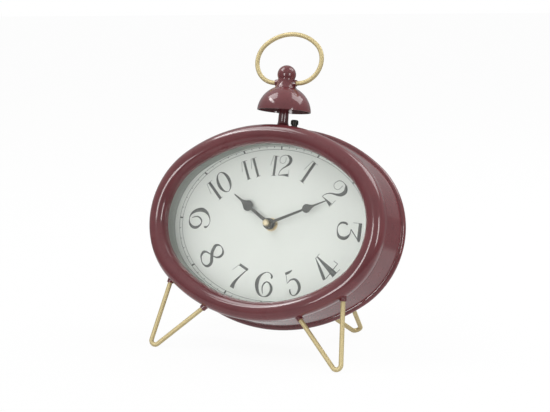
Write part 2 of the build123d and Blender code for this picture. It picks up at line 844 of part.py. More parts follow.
with BuildPart() as setting_knob:
    gear(*setting_place, setting_teeth, motion_module, setting_phase, minute_layer)
    disc(*setting_place, knob_arbor_radius, floor_depth + end_shake, cover_rear + knob_gap)
    disc(*setting_place, pivot_radius, floor_depth + end_shake - pivot_length, floor_depth + end_shake)
    disc(*setting_place, knob_radius, cover_rear + knob_gap, cover_rear + knob_gap + knob_height)
keep(setting_knob, "setting_knob")

# Going train, from the rotor to the centre wheel, which drags the minute arbor round by friction
with BuildPart() as centre_wheel:
    gear(*centre_place, centre_teeth, centre_module, third_direction, centre_layer)
    disc(*centre_place, arbor_bore, centre_layer, centre_layer + wheel_thickness, Mode.SUBTRACT)
keep(centre_wheel, "centre_wheel")

train_wheels = (
    ("third_wheel", third_place, (third_teeth, third_module, fourth_direction, third_layer),
     (third_pinion_teeth, centre_module, third_pinion_phase, centre_layer)),
    ("fourth_wheel", fourth_place, (fourth_teeth, fourth_module, intermediate_direction, fourth_layer),
     (fourth_pinion_teeth, third_module, fourth_pinion_phase, third_layer)),
    ("intermediate_wheel", intermediate_place,
     (intermediate_teeth, intermediate_module, rotor_direction, intermediate_layer),
     (intermediate_pinion_teeth, fourth_module, intermediate_pinion_phase, fourth_layer)),
)
for wheel_name, place, wheel_sizes, pinion_sizes in train_wheels:
    with BuildPart() as train_wheel:
        gear(*place, *wheel_sizes)
        gear(*place, *pinion_sizes)
        arbor(place)
    keep(train_wheel, wheel_name)

# Motor: magnet rotor, stator plate round it, and the coil on its core
stator_front = third_layer
stator_back = stator_front + stator_thickness
coil_depth = (stator_front + stator_back) / 2
rotor_front = coil_depth - rotor_length / 2
with BuildPart() as rotor:
    gear(*rotor_place, rotor_pinion_teeth, intermediate_module, rotor_pinion_phase, intermediate_layer)
    disc(*rotor_place, rotor_radius, rotor_front, rotor_front + rotor_length)
    arbor(rotor_place)
keep(rotor, "rotor")

stator_left = rotor_place[0] - stator_reach_left
stator_right = rotor_place[0] + stator_reach_right
stator_low = rotor_place[1] - stator_half
stator_high = rotor_place[1] + stator_half
coil_height = rotor_place[1] + coil_rise
leg_top = coil_height + core_half
with BuildPart() as stator:
    block(stator_left, stator_right, stator_low, stator_high, stator_front, stator_back)
    for leg_left in (stator_left, stator_right - stator_leg):
        block(leg_left, leg_left + stator_leg, stator_high, leg_top, stator_front, stator_back)
        block(leg_left, leg_left + stator_leg, leg_top - stator_leg, leg_top, floor_depth, stator_front)
    disc(*rotor_place, rotor_radius + stator_gap, stator_front, stator_back, Mode.SUBTRACT)
keep(stator, "stator")

core_left = stator_left + stator_leg
core_right = stator_right - stator_leg
with BuildPart() as coil:
    coil_start = face_plane.from_local_coords((core_left + fit_gap, coil_height, -coil_depth))
    coil_end = face_plane.from_local_coords((core_right - fit_gap, coil_height, -coil_depth))
    rod(coil_start, coil_end, coil_radius)
keep(coil, "coil")

# Circuit board under the cover, with its chip and crystal
board_front = cover_depth - board_thickness
board_middle = (board_low + board_high) / 2
with BuildPart() as circuit_board:
    block(-board_left, -board_right, board_low, board_high, board_front, cover_depth)
keep(circuit_board, "circuit_board")

chip_place = (-(board_left + board_right) / 2, board_middle)
with BuildPart() as driver_chip:
    disc(*chip_place, chip_radius, board_front - chip_height, board_front)
keep(driver_chip, "driver_chip")

with BuildPart() as quartz_crystal:
    crystal_y = board_high - 2 * crystal_radius
    crystal_start = face_plane.from_local_coords((-board_left + crystal_radius, crystal_y,
                                                  -board_front + crystal_radius))
    crystal_end = crystal_start + face_plane.x_dir * crystal_length
    rod(crystal_start, crystal_end, crystal_radius)
keep(quartz_crystal, "quartz_crystal")

# Battery across the bay, between its two contacts
bay_middle = (bay_top - inner_half) / 2
battery_depth = floor_depth + battery_gap + battery_radius
with BuildPart() as battery:
    can_left = face_plane.from_local_coords((-battery_length / 2, bay_middle, -battery_depth))
    can_right = face_plane.from_local_coords((battery_length / 2, bay_middle, -battery_depth))
    rod(can_left, can_right, battery_radius)
    rod(can_right, can_right + face_plane.x_dir * button_length, button_radius)
keep(battery, "battery")

contact_front = battery_depth - contact_half
contact_rear = battery_depth + contact_half
for contact_name, side, touch in (
    ("battery_contact_plus", 1, battery_length / 2 + button_length + battery_gap),
    ("battery_contact_minus", -1, battery_length / 2 + battery_gap),
):
    with BuildPart() as contact:
        ends = sorted((side * (inner_half - contact_thickness), side * inner_half))
        block(*ends, bay_middle - contact_half, bay_middle + contact_half, floor_depth, contact_rear)
        tongue = sorted((side * touch, side * (touch + contact_thickness)))
        block(*tongue, bay_middle - tongue_half, bay_middle + tongue_half, contact_front, contact_rear)
        bridge = sorted((side * touch, side * inner_half))
        block(*bridge, bay_middle - tongue_half, bay_middle + tongue_half,
              contact_rear - contact_thickness, contact_rear)
    keep(contact, contact_name)


def hand(length, angle, spade_at, spade_length, spade_half, blade_rear):
    """A spade hand: tapering arm, round-backed spade, fine point; turned clockwise from twelve by angle."""
    turn = radians(angle)
    blade_plane = Plane(
        origin=spot(0, 0, blade_rear).origin,
        x_dir=face_plane.x_dir * cos(turn) - face_plane.y_dir * sin(turn),
        z_dir=face_plane.z_dir,
    )
    widest = spade_at + spade_half
    spade_end = spade_at + spade_length
    waist = (spade_half * waist_width_share, widest + (spade_end - widest) * waist_length_share)
    with BuildSketch(blade_plane) as outline:
        Polygon((-hand_root_half, 0), (hand_root_half, 0), (hand_neck_half, widest),
                (-hand_neck_half, widest), align=None)
        with BuildLine():
            ThreePointArc((-spade_half, widest), (0, spade_at), (spade_half, widest))
            ThreePointArc((spade_half, widest), waist, (hand_point_half, spade_end))
            Line((hand_point_half, spade_end), (-hand_point_half, spade_end))
            ThreePointArc((-hand_point_half, spade_end), (-waist[0], waist[1]), (-spade_half, widest))
        make_face()
        Polygon((-hand_point_half, spade_end), (hand_point_half, spade_end), (hand_tip_half, length),
                (-hand_tip_half, length), align=None)
    extrude(outline.sketch, amount=hand_thickness)


hour_boss_back = hour_boss_front + hour_boss_length
hour_blade_rear = (hour_boss_front + hour_boss_back + hand_thickness) / 2
minute_blade_rear = (minute_boss_front + minute_boss_back + hand_thickness) / 2
with BuildPart() as hour_hand:
    hand(hour_hand_length, hour_hand_angle, hour_spade_at, hour_spade_length, hour_spade_half,
         hour_blade_rear)
    disc(0, 0, hour_boss_radius, hour_boss_front, hour_boss_back)
    disc(0, 0, pipe_bore, hour_boss_front, hour_boss_back, Mode.SUBTRACT)
keep(hour_hand, "hour_hand")

with BuildPart() as minute_hand:
    hand(minute_hand_length, minute_hand_angle, minute_spade_at, minute_spade_length, minute_spade_half,
         minute_blade_rear)
    disc(0, 0, minute_boss_radius, minute_boss_front, minute_boss_back)
    disc(0, 0, hand_seat_radius + running_gap, minute_boss_front, minute_boss_back, Mode.SUBTRACT)
keep(minute_hand, "minute_hand")

with BuildPart() as hand_nut:
    disc(0, 0, cap_radius, cap_front, minute_boss_front)
    cap_edge = hand_nut.edges().filter_by(GeomType.CIRCLE).sort_by(hand_axis)[-1]
    fillet(cap_edge, cap_round)
    disc(0, 0, thread_radius + running_gap, cap_front + cap_wall, minute_boss_front, Mode.SUBTRACT)
keep(hand_nut, "hand_nut")
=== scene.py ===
# %% [markdown]
# # A leaning oval table clock
# The real clock is an oval tin drum, enamelled burgundy, that leans back on four hairpin legs of gold wire.
# A bell, a ball and a wire ring stand on its top edge, and a quartz movement sits behind the dial. The
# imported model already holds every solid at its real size, so this lesson only dresses it: a finish for each
# node, print on the dial, hands, fine detail on the back, then a plain white studio.

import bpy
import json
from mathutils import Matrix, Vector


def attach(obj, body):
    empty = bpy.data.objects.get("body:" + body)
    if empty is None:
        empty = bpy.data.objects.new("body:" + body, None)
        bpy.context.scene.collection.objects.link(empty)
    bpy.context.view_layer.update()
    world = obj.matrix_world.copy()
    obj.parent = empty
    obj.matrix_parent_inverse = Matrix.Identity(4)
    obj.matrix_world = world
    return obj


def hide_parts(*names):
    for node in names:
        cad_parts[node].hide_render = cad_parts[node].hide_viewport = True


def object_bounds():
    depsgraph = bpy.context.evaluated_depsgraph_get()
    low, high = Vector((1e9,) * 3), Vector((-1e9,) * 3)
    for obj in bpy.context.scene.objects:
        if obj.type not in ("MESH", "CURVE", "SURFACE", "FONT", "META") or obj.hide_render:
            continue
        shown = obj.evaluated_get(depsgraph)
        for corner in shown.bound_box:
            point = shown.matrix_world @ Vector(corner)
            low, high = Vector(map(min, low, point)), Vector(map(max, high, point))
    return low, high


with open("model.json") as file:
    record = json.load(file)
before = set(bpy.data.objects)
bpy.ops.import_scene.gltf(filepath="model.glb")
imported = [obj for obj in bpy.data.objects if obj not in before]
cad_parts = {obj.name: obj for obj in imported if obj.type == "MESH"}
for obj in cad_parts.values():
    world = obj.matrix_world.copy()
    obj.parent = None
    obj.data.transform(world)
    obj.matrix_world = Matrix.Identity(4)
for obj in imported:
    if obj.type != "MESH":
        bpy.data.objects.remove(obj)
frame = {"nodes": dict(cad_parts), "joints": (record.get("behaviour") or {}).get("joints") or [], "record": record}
nodes = frame["nodes"]
cad_low, cad_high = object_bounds()
print("CAD box in metres", [round(v, 4) for v in cad_low], [round(v, 4) for v in cad_high])

# %% [markdown]
# ## The leaning face
# Dial, hands and movement are all square to one leaning axis. Its angle could be typed in, but then it would
# have to be kept in step with the model. The hands' joint already holds that axis, so `face` is worked out
# from it: a matrix whose x runs to the right of the dial, y up along it and z out towards the viewer. Flat
# work is drawn in those axes and then moved into place with one transform.

# %% Find the face from the hands' joint
from math import asin, atan2, cos, pi, radians, sin

import bpy
from mathutils import Matrix, Vector

mm = 0.001
hand_joint = next(joint for joint in frame["joints"] if joint["name"] == "minute_turn")
inward = Vector(hand_joint["axis"])
across = Vector((1, 0, 0))
upward = across.cross(inward)
face = Matrix((across, upward, -inward)).transposed().to_4x4()
face.translation = Vector(hand_joint["pos_m"])
to_face = face.inverted()


def face_points(node_name):
    """A node's vertices in the face's axes."""
    return [to_face @ vertex.co for vertex in nodes[node_name].data.vertices]


def face_box(node_name):
    """Lowest and highest coordinates of a node in the face's axes."""
    found = face_points(node_name)
    return Vector(min(axis) for axis in zip(*found)), Vector(max(axis) for axis in zip(*found))


dial_low, dial_high = face_box("dial_plate")
dial_size = dial_high - dial_low
print("dial is", round(dial_size.x / mm), "by", round(dial_size.y / mm), "mm")

# %% [markdown]
# ## Nodes in few words
# Shader trees and Geometry Nodes trees are built the same way: add a node, set its options, then link or
# set its sockets. Written out, every node takes a handful of lines, so one helper does it for both kinds.
# `new_tree` makes a tree with named sockets, so that every size has a name inside the tree too.

# %% Helpers for nodes, trees and objects
def add_node(tree, kind, sockets=None, **settings):
    """Adds a node with its settings; each socket is linked to another socket or given a value."""
    made = tree.nodes.new(kind)
    for setting, value in settings.items():
        setattr(made, setting, value)
    for socket, source in (sockets or {}).items():
        if isinstance(source, bpy.types.NodeSocket):
            tree.links.new(source, made.inputs[socket])
        else:
            made.inputs[socket].default_value = source
    return made


def new_tree(name, kind, inputs, outputs):
    """A node tree with named sockets; returns the tree, its input sockets and its output sockets."""
    tree = bpy.data.node_groups.new(name, kind)
    for direction, sockets in (("INPUT", inputs), ("OUTPUT", outputs)):
        for label, socket_kind in sockets.items():
            tree.interface.new_socket(label, in_out=direction, socket_type="NodeSocket" + socket_kind)
    source = add_node(tree, "NodeGroupInput").outputs
    target = add_node(tree, "NodeGroupOutput").inputs
    return tree, source, target


def new_object(name, data):
    """An object around a mesh, a lamp or a lens, linked to the scene."""
    made = bpy.data.objects.new(name, data)
    bpy.context.scene.collection.objects.link(made)
    return made


print("helpers ready")

# %% [markdown]
# ## A finish that several surfaces share
# Enamel, lacquer, moulded plastic and plated wire all vary a little: the colour drifts in soft patches,
# hands leave the gloss uneven, and the skin has a fine ripple. Painted images could show that, but they need
# UV maps and hold one scale only. Noise on Object coordinates needs neither, so one shader group makes the
# three effects from it, and each material feeds the group its own colours and scales. The Principled shader
# stays in the material, where gloss and coat are set as plain values.

# %% The shared finish group
finish_group, given, made = new_tree(
    "Uneven finish", "ShaderNodeTree",
    {"Light": "Color", "Dark": "Color", "Patch Scale": "Float", "Smooth": "Float", "Rough": "Float",
     "Skin Scale": "Float", "Skin Depth": "Float"},
    {"Color": "Color", "Roughness": "Float", "Normal": "Vector"},
)
patch_low, patch_high = 0.32, 0.68
smear_low, smear_high = 0.3, 0.7
smear_scale = 90.0
skin_height = 0.1 * mm
place = add_node(finish_group, "ShaderNodeTexCoord").outputs["Object"]
patches = add_node(finish_group, "ShaderNodeTexNoise",
                   {"Vector": place, "Scale": given["Patch Scale"], "Detail": 5.0, "Roughness": 0.6})
spread = add_node(finish_group, "ShaderNodeMapRange",
                  {"Value": patches.outputs["Fac"], "From Min": patch_low, "From Max": patch_high})
blend = add_node(finish_group, "ShaderNodeMix",
                 {0: spread.outputs[0], 6: given["Dark"], 7: given["Light"]}, data_type="RGBA")
smears = add_node(finish_group, "ShaderNodeTexNoise",
                  {"Vector": place, "Scale": smear_scale, "Detail": 3.0, "Distortion": 0.6})
gloss = add_node(finish_group, "ShaderNodeMapRange",
                 {"Value": smears.outputs["Fac"], "From Min": smear_low, "From Max": smear_high,
                  "To Min": given["Smooth"], "To Max": given["Rough"]})
skin = add_node(finish_group, "ShaderNodeTexNoise",
                {"Vector": place, "Scale": given["Skin Scale"], "Detail": 2.0})
ripple = add_node(finish_group, "ShaderNodeBump",
                  {"Strength": given["Skin Depth"], "Distance": skin_height, "Height": skin.outputs["Fac"]})
finish_group.links.new(blend.outputs[2], made["Color"])
finish_group.links.new(gloss.outputs[0], made["Roughness"])
finish_group.links.new(ripple.outputs["Normal"], made["Normal"])
print("group", finish_group.name, "has", len(finish_group.nodes), "nodes")

# %% [markdown]
# ## Finishes for the clock's slots
# Each slot of the record gets a material: two near colours, how glossy and how rippled it is, and the
# shader's plain settings. Materials built one by one would repeat the same nodes, so one function makes each
# from a row of values. Scales count noise cells per metre, so 26 gives patches of some 4 cm and 2600 a skin
# finer than half a millimetre. The enamel has a clear coat over a darker body, which gives the deep look of
# stoved paint. Metals are metallic with a satin skin.

# %% How a finish is made
finishes = {}


def finish(slot, light, dark, patch_scale, gloss_range, skin_scale, skin_depth, **settings):
    """A material on the shared finish group; settings are constants on the Principled shader."""
    material = bpy.data.materials.new(slot)
    material.use_nodes = True
    tree = material.node_tree
    shader = tree.nodes["Principled BSDF"]
    smooth, rough = gloss_range
    group = add_node(tree, "ShaderNodeGroup",
                     {"Light": (*light, 1), "Dark": (*dark, 1), "Patch Scale": patch_scale,
                      "Smooth": smooth, "Rough": rough, "Skin Scale": skin_scale, "Skin Depth": skin_depth},
                     node_tree=finish_group)
    for effect, socket in (("Color", "Base Color"), ("Roughness", "Roughness"), ("Normal", "Normal")):
        tree.links.new(group.outputs[effect], shader.inputs[socket])
    for setting, value in settings.items():
        shader.inputs[setting.replace("_", " ")].default_value = value
    finishes[slot] = material


print("finishes can be made")

# %% Make one material per slot
# A row is the slot, its light and its dark colour, patch scale, gloss range, skin scale and skin depth.
finish("enamel", (0.180, 0.043, 0.049), (0.142, 0.031, 0.037), 26, (0.25, 0.36), 420, 0.03,
       Coat_Weight=1.0, Coat_Roughness=0.09, Specular_IOR_Level=0.1)
finish("gold_wire", (0.60, 0.50, 0.265), (0.57, 0.47, 0.245), 60, (0.50, 0.58), 1200, 0.004, Metallic=0.4)
finish("dial_white", (0.755, 0.770, 0.735), (0.735, 0.750, 0.715), 30, (0.50, 0.60), 1800, 0.03)
# The rehaut's colour is painted shade: it is set far darker than the dial's paint to stand for the shade the bezel
# throws on the ring's wall.
finish("rehaut_white", (0.275, 0.292, 0.266), (0.258, 0.275, 0.250), 30, (0.45, 0.55), 1500, 0.04)
finish("hand_black", (0.052, 0.053, 0.046), (0.044, 0.045, 0.039), 120, (0.42, 0.54), 1800, 0.06)
finish("stub_black", (0.030, 0.028, 0.026), (0.016, 0.014, 0.013), 200, (0.30, 0.42), 1600, 0.10,
       Metallic=1.0)
finish("brass", (0.66, 0.57, 0.40), (0.58, 0.49, 0.33), 160, (0.26, 0.36), 2600, 0.03, Metallic=1.0)
finish("steel", (0.62, 0.62, 0.61), (0.50, 0.51, 0.52), 180, (0.26, 0.40), 2200, 0.08, Metallic=1.0)
finish("nickel", (0.72, 0.71, 0.68), (0.62, 0.61, 0.58), 180, (0.16, 0.28), 2200, 0.05, Metallic=1.0)
finish("magnet", (0.075, 0.070, 0.068), (0.045, 0.042, 0.040), 500, (0.45, 0.60), 2600, 0.15)
finish("rubber", (0.030, 0.030, 0.031), (0.018, 0.018, 0.019), 120, (0.60, 0.75), 1800, 0.20)
finish("black_plastic", (0.032, 0.032, 0.034), (0.022, 0.022, 0.024), 60, (0.42, 0.55), 2600, 0.25)
finish("white_plastic", (0.80, 0.79, 0.74), (0.70, 0.69, 0.63), 90, (0.38, 0.48), 1500, 0.06)
finish("copper", (0.72, 0.33, 0.16), (0.55, 0.22, 0.10), 400, (0.25, 0.35), 2600, 0.10, Metallic=1.0)
finish("board_green", (0.030, 0.150, 0.070), (0.018, 0.105, 0.048), 200, (0.30, 0.42), 1800, 0.08)
finish("epoxy_black", (0.022, 0.022, 0.022), (0.012, 0.012, 0.012), 300, (0.22, 0.34), 900, 0.15)
finish("battery_can", (0.055, 0.056, 0.060), (0.035, 0.036, 0.040), 90, (0.28, 0.40), 1200, 0.05)
finish("dial_ink", (0.110, 0.115, 0.107), (0.095, 0.100, 0.093), 500, (0.55, 0.70), 2600, 0.05)
print(len(finishes), "finishes made")

# %% [markdown]
# ## The glass
# A flat oval pane covers the dial. It could be left out, since it is so clear, but its reflections are what
# tells a clock face from a plate. Flat glass lets most light straight through, so it must not darken the
# dial: shadow rays are given a plain transparent shader, all other rays see clear glass with faint smudges.

# %% Clear glass for the dial
smudge_scale = 24.0
smudge_roughness = 0.02
glass = bpy.data.materials.new("glass")
glass.use_nodes = True
tree = glass.node_tree
clear = tree.nodes["Principled BSDF"]
clear.inputs["Base Color"].default_value = (0.97, 0.985, 0.975, 1)
clear.inputs["Transmission Weight"].default_value = 1.0
clear.inputs["IOR"].default_value = 1.45
smudges = add_node(tree, "ShaderNodeTexNoise",
                   {"Vector": add_node(tree, "ShaderNodeTexCoord").outputs["Object"], "Scale": smudge_scale})
polish = add_node(tree, "ShaderNodeMapRange",
                  {"Value": smudges.outputs["Fac"], "To Min": 0.0, "To Max": smudge_roughness})
tree.links.new(polish.outputs[0], clear.inputs["Roughness"])
rays = add_node(tree, "ShaderNodeLightPath").outputs
let_through = add_node(tree, "ShaderNodeMixShader",
                       {0: rays["Is Shadow Ray"], 1: clear.outputs[0],
                        2: add_node(tree, "ShaderNodeBsdfTransparent").outputs[0]})
tree.links.new(let_through.outputs[0], tree.nodes["Material Output"].inputs["Surface"])
finishes["glass"] = glass
print("glass ready")

# %% [markdown]
# ## Dressing the model
# The record says which slot each piece takes its finish from. Materials could be set node by node, but a
# loop over the record dresses all of them, also the wheels inside the movement that few will ever see.

# %% Dress every CAD node
for subpart in frame["record"]["subparts"]:
    for material_slot in nodes[subpart["node"]].material_slots:
        material_slot.material = finishes[subpart["material_slot"]]
print(len(nodes), "nodes dressed")

# %% [markdown]
# ## From a tree to a plain mesh
# What repeats or follows a path is made by Geometry Nodes. A live modifier would do for a picture, but a
# piece that is to be posed and exported is better off as a plain mesh. The helpers below put a tree on a
# base mesh, set its named inputs, evaluate it once and keep the result at the origin, ready to ride on a
# body. The modifier goes away with its base object.

# %% Helpers that grow a mesh from a tree
def line_mesh(name, runs, closed=(), **attributes):
    """A mesh of vertices and edges: one chain of edges for each run of points."""
    points, edges = [], []
    for number, run in enumerate(runs):
        first = len(points)
        points += run
        edges += [(i, i + 1) for i in range(first, len(points) - 1)]
        if number in closed:
            edges.append((len(points) - 1, first))
    mesh = bpy.data.meshes.new(name)
    mesh.from_pydata(points, edges, [])
    for attribute, values in attributes.items():
        mesh.attributes.new(attribute, "FLOAT", "POINT").data.foreach_set("value", values)
    return mesh


def grow(name, tree, base=None, place=None, **values):
    """Evaluates a tree on a base mesh and returns the result as an object with a plain mesh."""
    seed = new_object(name, base or bpy.data.meshes.new(name))
    modifier = seed.modifiers.new(name, "NODES")
    modifier.node_group = tree
    for item in tree.interface.items_tree:
        key = item.name.replace(" ", "_").lower()
        if item.in_out == "INPUT" and key in values:
            modifier[item.identifier] = values.pop(key)
    assert not values, values
    depsgraph = bpy.context.evaluated_depsgraph_get()
    mesh = bpy.data.meshes.new_from_object(seed.evaluated_get(depsgraph))
    bpy.data.objects.remove(seed)
    if place is not None:
        mesh.transform(place)
    print(name, len(mesh.polygons), "faces")
    return new_object(name, mesh)


print("growing helpers ready")

# %% [markdown]
# The trees below share a few short steps: sums, a vector from three numbers, a choice between two values,
# and the same end, where instances become real geometry with one material. They could be written out each
# time, but as helpers they leave only what is particular to a piece in its tree.

# %% Steps that every tree uses
def sums(tree, operation, first, second=0.0):
    """A Math node's result."""
    return add_node(tree, "ShaderNodeMath", {0: first, 1: second}, operation=operation).outputs[0]


def vector(tree, x=0.0, y=0.0, z=0.0):
    """A vector from three numbers or sockets."""
    return add_node(tree, "ShaderNodeCombineXYZ", {0: x, 1: y, 2: z}).outputs[0]


def choice(tree, chosen, plain, other):
    """The plain value where chosen is 0, the other one where it is 1."""
    return add_node(tree, "ShaderNodeMix", {0: chosen, 2: plain, 3: other}).outputs[0]


def end_tree(tree, result, given, made):
    """Makes instances real, sets the tree's material and hands the mesh out."""
    real = add_node(tree, "GeometryNodeRealizeInstances", {0: result})
    dressed = add_node(tree, "GeometryNodeSetMaterial",
                       {0: real.outputs[0], "Material": given["Material"]})
    tree.links.new(dressed.outputs[0], made["Geometry"])
    print(tree.name, len(tree.nodes), "nodes")


print("tree steps ready")

# %% [markdown]
# ## The minute track
# The dial's print is a narrow track of two thin oval lines with a tick at every minute, thicker at the
# hours. The ticks point at the dial's centre, so on an oval they are neither evenly spaced nor of one
# length. Sixty blocks could be placed by hand or by a loop. A tree says the rule itself: sixty points at
# true clock angles, each put on the oval by the ellipse formula, carry a unit block that is stretched
# across the track.

# %% Clock angles for the ticks
minutes = 60
minutes_per_hour_tick = 5
track_tree, given, made = new_tree(
    "Minute track", "GeometryNodeTree",
    {"Outer Half Width": "Float", "Outer Half Height": "Float", "Track": "Float", "Line": "Float",
     "Minute Tick": "Float", "Hour Tick": "Float", "Minute Share": "Float", "Ink": "Float",
     "Material": "Material"},
    {"Geometry": "Geometry"},
)
minute = add_node(track_tree, "GeometryNodeInputIndex").outputs[0]
angle = sums(track_tree, "MULTIPLY", minute, 2 * pi / minutes)
sine = sums(track_tree, "SINE", angle)
cosine = sums(track_tree, "COSINE", angle)
is_hour = sums(track_tree, "COMPARE", sums(track_tree, "MODULO", minute, minutes_per_hour_tick))
print(minutes, "ticks, with an hour at every", minutes_per_hour_tick)

# %% Place and size of each tick
def reach_of(half_width, half_height):
    """Distance from the centre to an ellipse along the tick's direction."""
    wide = sums(track_tree, "POWER", sums(track_tree, "DIVIDE", sine, half_width), 2)
    tall = sums(track_tree, "POWER", sums(track_tree, "DIVIDE", cosine, half_height), 2)
    return sums(track_tree, "INVERSE_SQRT", sums(track_tree, "ADD", wide, tall))


inner_width = sums(track_tree, "SUBTRACT", given["Outer Half Width"], given["Track"])
inner_height = sums(track_tree, "SUBTRACT", given["Outer Half Height"], given["Track"])
outer_reach = reach_of(given["Outer Half Width"], given["Outer Half Height"])
inner_reach = reach_of(inner_width, inner_height)
tick_share = choice(track_tree, is_hour, given["Minute Share"], 1.0)
track_here = sums(track_tree, "SUBTRACT", outer_reach, inner_reach)
tick_length = sums(track_tree, "MULTIPLY", tick_share, track_here)
tick_width = choice(track_tree, is_hour, given["Minute Tick"], given["Hour Tick"])
middle = sums(track_tree, "SUBTRACT", outer_reach, sums(track_tree, "MULTIPLY", tick_length, 0.5))
tick_place = vector(track_tree, sums(track_tree, "MULTIPLY", middle, sine),
                    sums(track_tree, "MULTIPLY", middle, cosine))
tick_size = vector(track_tree, tick_width, tick_length, given["Ink"])
tick_turn = vector(track_tree, z=sums(track_tree, "MULTIPLY", angle, -1.0))
print("ticks follow the ellipse with", len(track_tree.nodes), "nodes so far")

# %% Ticks and oval lines
oval_steps = 240
points = add_node(track_tree, "GeometryNodePoints", {"Count": minutes, "Position": tick_place})
ticks = add_node(track_tree, "GeometryNodeInstanceOnPoints",
                 {"Points": points.outputs[0],
                  "Instance": add_node(track_tree, "GeometryNodeMeshCube").outputs[0],
                  "Rotation": tick_turn, "Scale": tick_size})
printed = add_node(track_tree, "GeometryNodeJoinGeometry", {0: ticks.outputs[0]})
pen = add_node(track_tree, "GeometryNodeCurvePrimitiveQuadrilateral",
               {0: given["Line"], 1: given["Ink"]})
for half_width, half_height in ((given["Outer Half Width"], given["Outer Half Height"]),
                                (inner_width, inner_height)):
    oval_size = vector(track_tree, half_width, half_height, 1.0)
    ring = add_node(track_tree, "GeometryNodeCurvePrimitiveCircle",
                    {"Resolution": oval_steps, "Radius": 1.0})
    oval = add_node(track_tree, "GeometryNodeTransform", {"Geometry": ring.outputs[0], "Scale": oval_size})
    level = add_node(track_tree, "GeometryNodeSetCurveNormal", {0: oval.outputs[0]}, mode="Z_UP")
    line = add_node(track_tree, "GeometryNodeCurveToMesh", {0: level.outputs[0], 1: pen.outputs[0]})
    track_tree.links.new(line.outputs[0], printed.inputs[0])
end_tree(track_tree, printed.outputs[0], given, made)

# %% Print the track on the dial
ink_height = 0.06 * mm
track_half_width, track_half_height = 93.6 * mm, 70.9 * mm
track_width, line_width = 3.0 * mm, 0.32 * mm
minute_tick_width, hour_tick_width = 0.5 * mm, 1.4 * mm
minute_tick_share = 0.5
on_dial = face @ Matrix.Translation((0, 0, dial_high.z + ink_height / 2))
track = grow("dial_track", track_tree, place=on_dial, outer_half_width=track_half_width,
             outer_half_height=track_half_height, track=track_width, line=line_width,
             minute_tick=minute_tick_width, hour_tick=hour_tick_width, minute_share=minute_tick_share,
             ink=ink_height, material=finishes["dial_ink"])
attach(track, "case")

# %% [markdown]
# ## Numerals drawn with a pen
# The numerals are swelling pen strokes with hairline serifs. A font has other shapes, and outlines would
# need many points, so they are drawn the way a sign writer draws them: each glyph is a few strokes, every
# point with the pen's width there. The tree turns a stroke into a smooth curve through its points and
# sweeps a flat nib along it, as wide as the stroke's own `width` attribute says.

# %% Tree for pen strokes
pen_tree, given, made = new_tree(
    "Pen strokes", "GeometryNodeTree",
    {"Geometry": "Geometry", "Ink": "Float", "Smoothness": "Int", "Material": "Material"},
    {"Geometry": "Geometry"},
)
strokes = add_node(pen_tree, "GeometryNodeMeshToCurve", {0: given["Geometry"]})
smooth = add_node(pen_tree, "GeometryNodeCurveSplineType", {0: strokes.outputs[0]},
                  spline_type="CATMULL_ROM")
fine = add_node(pen_tree, "GeometryNodeSetSplineResolution", {0: smooth.outputs[0], 2: given["Smoothness"]})
level = add_node(pen_tree, "GeometryNodeSetCurveNormal", {0: fine.outputs[0]}, mode="Z_UP")
nib = add_node(pen_tree, "GeometryNodeCurvePrimitiveQuadrilateral", {0: 1.0, 1: 1.0})
width = add_node(pen_tree, "GeometryNodeInputNamedAttribute", {0: "width"}, data_type="FLOAT")
swept = add_node(pen_tree, "GeometryNodeCurveToMesh",
                 {0: level.outputs[0], 1: nib.outputs[0], "Scale": width.outputs[0], "Fill Caps": True})
spot = add_node(pen_tree, "ShaderNodeSeparateXYZ",
                {0: add_node(pen_tree, "GeometryNodeInputPosition").outputs[0]}).outputs
half_ink = sums(pen_tree, "MULTIPLY", given["Ink"], 0.5)
flat = vector(pen_tree, spot[0], spot[1],
              sums(pen_tree, "MULTIPLY", sums(pen_tree, "SIGN", spot[2]), half_ink))
pressed = add_node(pen_tree, "GeometryNodeSetPosition", {0: swept.outputs[0], "Position": flat})
end_tree(pen_tree, pressed.outputs[0], given, made)

